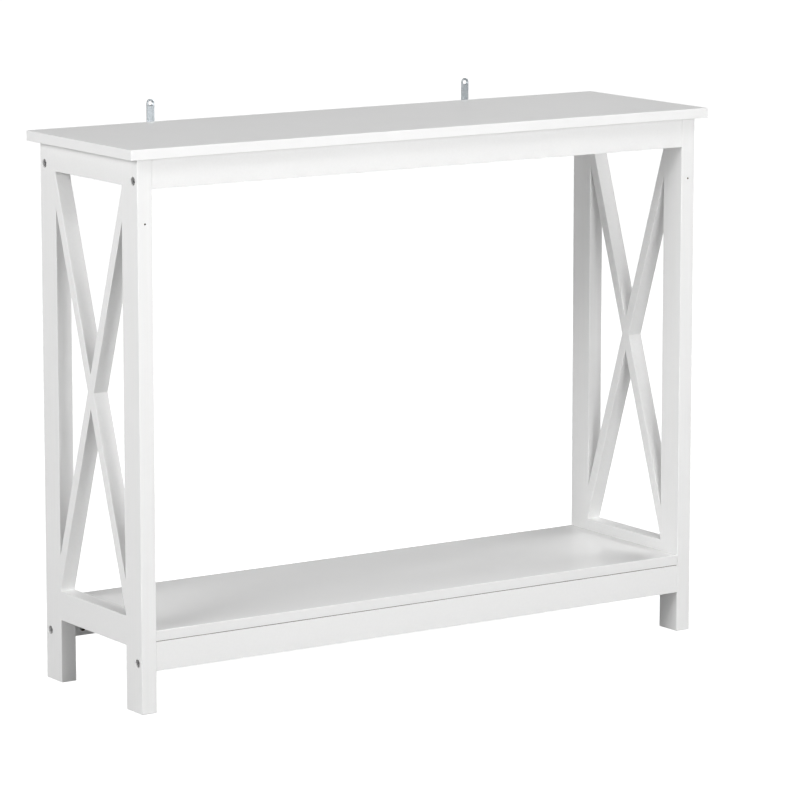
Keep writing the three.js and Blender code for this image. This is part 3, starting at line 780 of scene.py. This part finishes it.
    def make_braces(self):
        """Each brace keeps half of the thickness where they cross: the rearward one the outer half."""
        sign = SIDES[self.side]
        halfway = (self.x_low + self.x_high) / 2
        joint = self.inner - JOINT_OVERLAP - JOINT_GAP
        span = rectangle((-joint, self.opening_low), (joint, self.opening_high))
        for name, rise, keeps in (("rearward", 1, sign), ("forward", -1, -sign)):
            brace = self.part(f"brace_{name}", self.strip(rise, JOINT_OVERLAP))
            carve(brace, [self.region(span)], "INTERSECT")
            lap = self.strip(-rise, JOINT_OVERLAP + JOINT_GAP)
            if keeps > 0:
                tool = self.region(lap, high=halfway + JOINT_GAP / 2)
            else:
                tool = self.region(lap, low=halfway - JOINT_GAP / 2)
            node = f"{self.side}_brace_rising_{name}"
            finish(carve(brace, [tool]), node)


def counterbore(sign, face, seat, place):
    """The wide part of a bolt hole, with a slightly eased mouth."""
    depth = abs(face - seat)
    radius, mouth = COUNTERBORE_RADIUS, COUNTERBORE_RADIUS + COUNTERBORE_EASE
    profile = [(0, 0), (radius, 0), (radius, depth - COUNTERBORE_EASE), (mouth, depth)]
    profile += [(mouth, depth + MM), (0, depth + MM)]
    foot = (seat, place.y, place.z)
    return paint(lathe("cutter", profile, (sign, 0, 0), foot), LEG_PAINT)


# ---- Aprons --------------------------------------------------------------------------------------


def apron(level, edge):
    node = f"{level}_{edge}_apron"
    way = EDGES[edge]
    low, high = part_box(node)
    top = high.z - (TOP_GAP if level == "upper" else SHELF_GAP)
    outline = rectangle((low.x, low.z), (high.x, top))
    insets = [[APRON_ARRIS, JOINT_ARRIS, JOINT_ARRIS, JOINT_ARRIS]]
    board = paint(slab(node, [outline], Y, low.y, high.y, APRON_ARRIS, insets), FRAME_PAINT)
    inner_face = low.y if way > 0 else high.y
    cutters = []
    for side, sign in SIDES.items():
        corner = f"{side}_{edge}_{level}"
        end = high.x if sign > 0 else low.x
        inward = 0 if sign > 0 else 1
        bolt_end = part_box(f"frame_bolt_{corner}")[inward].x - sign * BOLT_HOLE_RUN
        dowel_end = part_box(f"apron_dowel_{corner}")[inward].x - sign * HOLE_SLACK
        mouth = end + sign * MM
        cutters.append(drill(X, bolt_end, mouth, middle(f"frame_bolt_{corner}"), BOLT_HOLE_RADIUS, BARE_AND_SHADE))
        cutters.append(drill(X, dowel_end, mouth, middle(f"apron_dowel_{corner}"), DOWEL_HOLE_RADIUS, BARE_AND_SHADE))
        nut_end = inner_face + way * NUT_HOLE_DEPTH
        nut = middle(f"barrel_nut_{corner}")
        cutters.append(drill(Y, inner_face - way * MM, nut_end, nut, NUT_HOLE_RADIUS, BARE_AND_SHADE, ROUND_STEPS))
        if level == "upper":
            cutters += cam_cutters(edge, side, inner_face, high.z)
        else:
            cutters += shelf_screw_cutters(edge, side, low.z, high.z)
    # The aprons' tops get the dark bare board, as painted shade in the slits under the tabletop and the shelf
    finish(shaded_bare_top(carve(board, cutters)), node)


def cam_cutters(edge, side, inner_face, top):
    way = EDGES[edge]
    cam = middle(f"cam_lock_{edge}_{side}")
    bolt = middle(f"cam_bolt_{edge}_{side}")
    bolt_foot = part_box(f"cam_bolt_{edge}_{side}")[0].z - CAM_BOLT_HOLE_RUN
    cam_end = inner_face + way * CAM_HOLE_DEPTH
    return [
        drill(Y, inner_face - way * MM, cam_end, cam, CAM_HOLE_RADIUS, BARE_AND_SHADE, ROUND_STEPS),
        drill(Z, bolt_foot, top + MM, bolt, CAM_BOLT_HOLE_RADIUS, BARE_AND_SHADE),
    ]


def shelf_screw_cutters(edge, side, foot, top):
    place = middle(f"shelf_screw_{edge}_{side}")
    seat = top - SHELF_SCREW_SEAT
    return [
        drill(Z, foot - MM, seat, place, SHELF_SCREW_BORE_RADIUS, BARE_AND_SHADE, ROUND_STEPS),
        drill(Z, seat - MM, top + MM, place, SCREW_HOLE_RADIUS, BARE_AND_SHADE),
    ]


# ---- Fasteners -----------------------------------------------------------------------------------


def ridged(radius, start, end, pitch, depth):
    """A profile along a screw's shank, with a ridge for each turn of its thread."""
    turns = int(abs(end - start) / pitch)
    step = (end - start) / turns
    points = []
    for turn in range(turns):
        points += [(radius - depth, start + turn * step), (radius, start + (turn + 0.5) * step)]
    return [*points, (radius - depth, end)]


def chamfered_rod(radius, half, ease):
    """A profile of a plain rod with chamfered ends, half its length to each side of its middle."""
    start = [(0, -half), (radius - ease, -half), (radius, -half + ease)]
    return start + [(radius, half - ease), (radius - ease, half), (0, half)]


def hex_socket(axis, place):
    """A cutter for a bolt's hexagon socket, a little wider at its mouth."""
    radius, mouth = SOCKET_RADIUS, SOCKET_RADIUS + SOCKET_EASE
    profile = [(0, -SOCKET_DEPTH), (radius, -SOCKET_DEPTH), (radius, -SOCKET_EASE), (mouth, 0)]
    profile += [(mouth, MM), (0, MM)]
    return lathe("cutter", profile, axis, place, 6)


def cross_tools(axis, place, depth, reach, slot):
    """Two cutters that make a cross-shaped driver recess. It narrows as it goes in, down from the place."""
    turn = Vector((0, 0, 1)).rotation_difference(Vector(axis)).to_matrix().to_4x4()
    tools = []
    for long_way, short_way in ((reach, slot / 2), (slot / 2, reach)):
        shape = bmesh.new()
        bmesh.ops.create_cube(shape, size=2)
        for vert in shape.verts:
            taper = CROSS_TAPER if vert.co.z < 0 else 1
            height = -depth if vert.co.z < 0 else MM
            vert.co = (vert.co.x * long_way * taper, vert.co.y * short_way * (taper + 1) / 2, height)
        bmesh.ops.transform(shape, matrix=Matrix.Translation(place) @ turn, verts=shape.verts)
        tools.append(to_object("cutter", shape))
    return tools


def frame_bolt(side, edge, level):
    """A socket-head bolt. Its profile runs from the tip to the face of its head, which is at zero."""
    node = f"frame_bolt_{side}_{edge}_{level}"
    sign = SIDES[side]
    low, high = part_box(node)
    place = middle(node)
    place.x = high.x if sign > 0 else low.x
    tip, seat = low.x - high.x, -BOLT_HEAD_HEIGHT
    root = BOLT_RADIUS - BOLT_THREAD_DEPTH
    profile = [(0, tip), (BOLT_TIP_RADIUS, tip), (root, tip + BOLT_TIP)]
    thread = (tip + BOLT_THREAD_START, tip + BOLT_THREAD_END)
    profile += ridged(BOLT_RADIUS, *thread, BOLT_PITCH, BOLT_THREAD_DEPTH)
    profile += [(BOLT_RADIUS, tip + BOLT_SHANK_START), (BOLT_RADIUS, seat)]
    profile += [(BOLT_HEAD_RADIUS - BOLT_SEAT_EASE, seat), (BOLT_HEAD_RADIUS, seat + BOLT_SEAT_EASE)]
    for step in range(ARRIS_STEPS + 1):
        angle = math.pi / 2 * step / ARRIS_STEPS
        radius = BOLT_HEAD_RADIUS - BOLT_HEAD_EASE * (1 - math.cos(angle))
        profile.append((radius, -BOLT_HEAD_EASE * (1 - math.sin(angle))))
    profile.append((0, 0))
    bolt = paint(lathe(node, profile, (sign, 0, 0), place), DARK_ZINC)
    socket = hex_socket((sign, 0, 0), place)
    finish(carve(bolt, [paint(socket, DARK_ZINC)]), node)


def barrel_nut(side, edge, level):
    """A steel barrel with a threaded cross hole, and a slot in the end that shows."""
    node = f"barrel_nut_{side}_{edge}_{level}"
    low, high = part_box(node)
    place = middle(node)
    way = EDGES[edge]
    profile = chamfered_rod((high.z - low.z) / 2, (high.y - low.y) / 2, NUT_EASE)
    nut = paint(lathe(node, profile, (0, 1, 0), place), DARK_ZINC)
    hole = drill(X, low.x - MM, high.x + MM, place, NUT_BORE_RADIUS, DARK_ZINC)
    shown = low.y if way > 0 else high.y
    half = NUT_SLOT_WIDTH / 2
    slot_outline = rectangle((low.x - MM, place.z - half), (high.x + MM, place.z + half))
    start, end = sorted((shown - way * MM, shown + way * NUT_SLOT_DEPTH))
    slot = paint(slab("cutter", [slot_outline], Y, start, end, 0), DARK_ZINC)
    finish(carve(nut, [hole, slot]), node)


def apron_dowel(side, edge, level):
    """A fluted beech dowel with chamfered ends."""
    node = f"apron_dowel_{side}_{edge}_{level}"
    low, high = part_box(node)
    profile = chamfered_rod((high.z - low.z) / 2, (high.x - low.x) / 2, DOWEL_EASE)
    dowel = lathe(node, profile, (1, 0, 0), middle(node), flutes=DOWEL_FLUTES)
    finish(paint(dowel, BEECH), node)


def cam_bolt(edge, side):
    """The steel stud that a cam pulls down, screwed up into the tabletop."""
    node = f"cam_bolt_{edge}_{side}"
    low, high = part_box(node)
    place = Vector((middle(node).x, middle(node).y, low.z))
    length = high.z - low.z
    board_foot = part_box("tabletop")[0].z - low.z
    profile = [(0, 0), (STUD_HEAD_RADIUS - STUD_HEAD_EASE, 0), (STUD_HEAD_RADIUS, STUD_HEAD_EASE)]
    profile += [(STUD_HEAD_RADIUS, STUD_HEAD_HEIGHT), (STUD_NECK_RADIUS, STUD_HEAD_HEIGHT + STUD_CONE)]
    profile += [(STUD_NECK_RADIUS, STUD_NECK_END), (STUD_RADIUS, STUD_NECK_END + STUD_CONE)]
    profile += [(STUD_RADIUS, board_foot - STUD_CONE)]
    profile += ridged(STUD_THREAD_RADIUS, board_foot, length - STUD_POINT, STUD_PITCH, STUD_THREAD_DEPTH)
    profile += [(0, length)]
    finish(paint(lathe(node, profile, (0, 0, 1), place), DARK_ZINC), node)


def cam_lock(edge, side):
    """A die-cast cam: a disc with a driver cross in its face and a slot for the stud's head."""
    node = f"cam_lock_{edge}_{side}"
    way = EDGES[edge]
    low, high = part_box(node)
    place = middle(node)
    place.y = low.y if way > 0 else high.y
    radius, depth = (high.x - low.x) / 2, high.y - low.y
    rim = radius - CAM_RIM
    profile = [(0, -depth), (radius - CAM_EASE, -depth), (radius, -depth + CAM_EASE), (radius, -CAM_EASE)]
    profile += [(radius - CAM_EASE_MIDDLE, -CAM_EASE_MIDDLE), (radius - CAM_EASE, 0), (rim, 0)]
    profile += [(rim - CAM_DISH, -CAM_DISH), (0, -CAM_DISH)]
    cam = paint(lathe(node, profile, (0, -way, 0), place), BRIGHT_ZINC)
    recess = cross_tools((0, -way, 0), place, *CAM_CROSS)
    stud = middle(f"cam_bolt_{edge}_{side}")
    start, end = sorted((stud.y - way * CAM_SLOT_FRONT, place.y + way * (depth + MM)))
    slot_low = (place.x - CAM_SLOT_HALF, place.z - CAM_SLOT_FOOT)
    slot_high = (place.x + CAM_SLOT_HALF, place.z + radius + MM)
    slot = slab("cutter", [rectangle(slot_low, slot_high)], Y, start, end, 0)
    finish(carve(cam, [paint(tool, BRIGHT_ZINC) for tool in (*recess, slot)]), node)


def shelf_screw(edge, side):
    """A pan-head screw that goes up through a lower apron. Its profile starts at the head's face."""
    node = f"shelf_screw_{edge}_{side}"
    low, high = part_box(node)
    place = Vector((middle(node).x, middle(node).y, low.z))
    length = high.z - low.z
    thread = ridged(SCREW_RADIUS, PAN_HEAD[-1][1], length - SCREW_POINT, SCREW_PITCH, SCREW_THREAD_DEPTH)
    profile = [*PAN_HEAD, *thread, (0, length)]
    screw = paint(lathe(node, profile, (0, 0, 1), place), BRIGHT_ZINC)
    recess = cross_tools((0, 0, -1), place, *SHELF_SCREW_CROSS)
    finish(carve(screw, [paint(tool, BRIGHT_ZINC) for tool in recess]), node)


# ---- Wall straps ---------------------------------------------------------------------------------


def wall_strap(side):
    """A flat strap with a round top. Its wall hole is countersunk in front, and its screw hole behind."""
    node = f"wall_bracket_{side}"
    low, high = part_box(node)
    half = (high.x - low.x) / 2
    radii = [STRAP_CORNER, STRAP_CORNER, half * STRAP_ROUND, half * STRAP_ROUND]
    outline = rounded(rectangle((low.x, low.z), (high.x, high.z)), radii, STRAP_STEPS)
    strap = slab(node, [outline], Y, low.y, high.y, STRAP_ARRIS)
    wall_hole = Vector((middle(node).x, low.y, high.z - half))
    screw_hole = Vector((middle(node).x, high.y, middle(f"bracket_screw_{side}").z))
    thickness = high.y - low.y
    cutters = [
        countersink((0, -1, 0), wall_hole, thickness, WALL_HOLE_RADIUS, WALL_HOLE_FLARE),
        countersink((0, 1, 0), screw_hole, thickness, SCREW_HOLE_RADIUS, SCREW_HOLE_FLARE),
    ]
    paint(strap, BRIGHT_ZINC)
    finish(carve(strap, [paint(tool, BRIGHT_ZINC) for tool in cutters]), node)


def countersink(axis, mouth, thickness, radius, flare):
    """A hole through a plate whose mouth widens by flare over nearly the whole thickness."""
    profile = [(0, -thickness - MM), (radius, -thickness - MM), (radius, -thickness * COUNTERSINK_SHARE)]
    profile += [(radius + flare, 0), (radius + flare, MM), (0, MM)]
    return lathe("cutter", profile, axis, mouth)


def strap_screw(side):
    """A countersunk screw into the tabletop's rear edge. Its profile runs from the point to the head."""
    node = f"bracket_screw_{side}"
    low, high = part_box(node)
    place = Vector((middle(node).x, high.y, middle(node).z))
    point = low.y - high.y
    ends = (point + SCREW_POINT, -COUNTERSUNK_THREAD_END)
    thread = ridged(SCREW_RADIUS, *ends, SCREW_PITCH, SCREW_THREAD_DEPTH)
    profile = [(0, point), *thread, *COUNTERSUNK_HEAD]
    screw = paint(lathe(node, profile, (0, 1, 0), place), BRIGHT_ZINC)
    recess = cross_tools((0, 1, 0), place, *STRAP_SCREW_CROSS)
    finish(carve(screw, [paint(tool, BRIGHT_ZINC) for tool in recess]), node)


# ---- Build ---------------------------------------------------------------------------------------

make_camera()
make_floor()
make_world()
make_lights()
bpy.context.scene.view_settings.view_transform = "Standard"

tabletop()
lower_shelf()
for end in SIDES:
    EndFrame(end).make_strips()
for height in LEVELS:
    for long_edge in EDGES:
        apron(height, long_edge)
for end in SIDES:
    for long_edge in EDGES:
        for height in LEVELS:
            frame_bolt(end, long_edge, height)
            barrel_nut(end, long_edge, height)
            apron_dowel(end, long_edge, height)
        cam_bolt(long_edge, end)
        cam_lock(long_edge, end)
        shelf_screw(long_edge, end)
    wall_strap(end)
    strap_screw(end)
